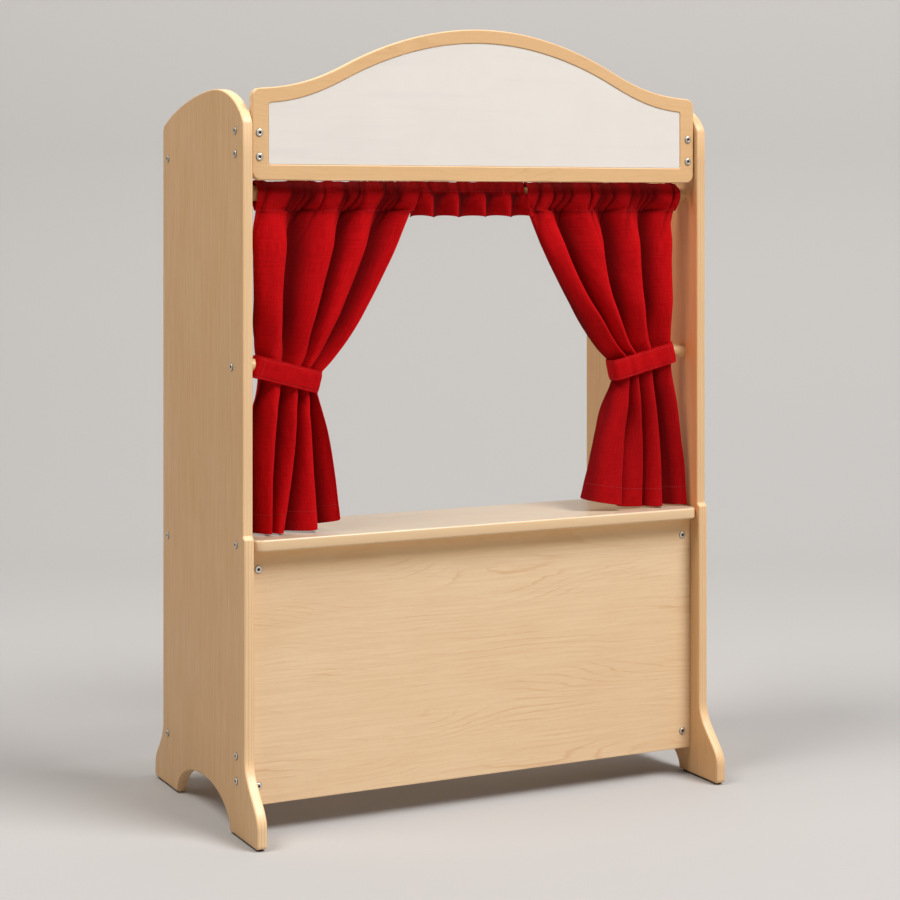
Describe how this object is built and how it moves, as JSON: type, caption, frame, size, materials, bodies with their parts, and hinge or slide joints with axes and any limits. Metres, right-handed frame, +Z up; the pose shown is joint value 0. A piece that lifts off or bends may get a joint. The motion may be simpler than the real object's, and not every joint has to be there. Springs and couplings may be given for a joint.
{
  "type": "puppet theater stand",
  "caption": "Free-standing wooden puppet theater with shaped side panels, counter shelf, crowned marker board header and tied-back red curtains on a dowel rod.",
  "frame": {"origin": "under the middle of the stand's bounding box, on the floor", "axes": "+X to the right seen from the audience, +Y towards the puppeteers' side, +Z up"},
  "size_m": [0.8744, 0.491, 1.3],
  "materials": {
    "side_plywood": "satin clear lacquer on maple faced plywood",
    "face_plywood": "satin clear lacquer on maple faced plywood",
    "rail_plywood": "plain birch plywood",
    "dowel_wood": "lacquered hardwood dowel",
    "board_white": "white melamine marker board",
    "curtain_cloth": "red woven cotton",
    "screw_steel": "nickel plated socket screws",
    "pad_rubber": "black non-slip pad"
  },
  "bodies": {
    "stand": {"counter_shelf": "face_plywood", "foot_pad_front_left": "pad_rubber", "foot_pad_front_right": "pad_rubber", "foot_pad_rear_left": "pad_rubber", "foot_pad_rear_right": "pad_rubber", "front_panel": "face_plywood", "header_backing": "rail_plywood", "header_cleat_left": "rail_plywood", "header_cleat_right": "rail_plywood", "header_frame": "face_plywood", "header_screw_lower_left": "screw_steel", "header_screw_lower_right": "screw_steel", "header_screw_upper_left": "screw_steel", "header_screw_upper_right": "screw_steel", "marker_board": "board_white", "panel_cleat_left": "rail_plywood", "panel_cleat_right": "rail_plywood", "panel_screw_lower_left": "screw_steel", "panel_screw_lower_right": "screw_steel", "panel_screw_upper_left": "screw_steel", "panel_screw_upper_right": "screw_steel", "rail_pin_bottom_left": "rail_plywood", "rail_pin_bottom_right": "rail_plywood", "rail_pin_middle_left": "rail_plywood", "rail_pin_middle_right": "rail_plywood", "rail_pin_top_left": "rail_plywood", "rail_pin_top_right": "rail_plywood", "rear_rail_bottom": "rail_plywood", "rear_rail_middle": "rail_plywood", "rear_rail_top": "rail_plywood", "side_panel_left": "side_plywood", "side_panel_right": "side_plywood", "side_screw_left_header_lower": "screw_steel", "side_screw_left_header_upper": "screw_steel", "side_screw_left_panel_lower": "screw_steel", "side_screw_left_panel_upper": "screw_steel", "side_screw_left_peg": "screw_steel", "side_screw_left_rail_bottom": "screw_steel", "side_screw_left_rail_middle": "screw_steel", "side_screw_left_rail_top": "screw_steel", "side_screw_left_shelf": "screw_steel", "side_screw_right_header_lower": "screw_steel", "side_screw_right_header_upper": "screw_steel", "side_screw_right_panel_lower": "screw_steel", "side_screw_right_panel_upper": "screw_steel", "side_screw_right_peg": "screw_steel", "side_screw_right_rail_bottom": "screw_steel", "side_screw_right_rail_middle": "screw_steel", "side_screw_right_rail_top": "screw_steel", "side_screw_right_shelf": "screw_steel", "tieback_peg_left": "dowel_wood", "tieback_peg_right": "dowel_wood"},
    "rod": {"curtain_rod": "dowel_wood"},
    "left_curtain": {"curtain_left": "curtain_cloth"},
    "right_curtain": {"curtain_right": "curtain_cloth"},
    "left_tieback": {"tieback_left": "curtain_cloth"},
    "right_tieback": {"tieback_right": "curtain_cloth"},
    "valance": {"valance": "curtain_cloth"}
  },
  "joints": [
    {"name": "rod_turn", "type": "hinge", "parent": "stand", "child": "rod", "pos_m": [0, -0.1349, 1.025], "axis": [1, 0, 0], "continuous": true},
    {"name": "curtain_left_slide", "type": "slide", "parent": "stand", "child": "left_curtain", "axis": [1, 0, 0], "range_m": [-0.006, 0.003]},
    {"name": "curtain_right_slide", "type": "slide", "parent": "stand", "child": "right_curtain", "axis": [1, 0, 0], "range_m": [-0.003, 0.006]},
    {"name": "tieback_left_release", "type": "slide", "parent": "left_curtain", "child": "left_tieback", "axis": [1, 0, 0], "range_m": [0, 0.008]},
    {"name": "tieback_right_release", "type": "slide", "parent": "right_curtain", "child": "right_tieback", "axis": [-1, 0, 0], "range_m": [0, 0.008]},
    {"name": "valance_swing", "type": "hinge", "parent": "stand", "child": "valance", "pos_m": [0, -0.1349, 1.025], "axis": [1, 0, 0], "range_deg": [-20, 20]}
  ]
}
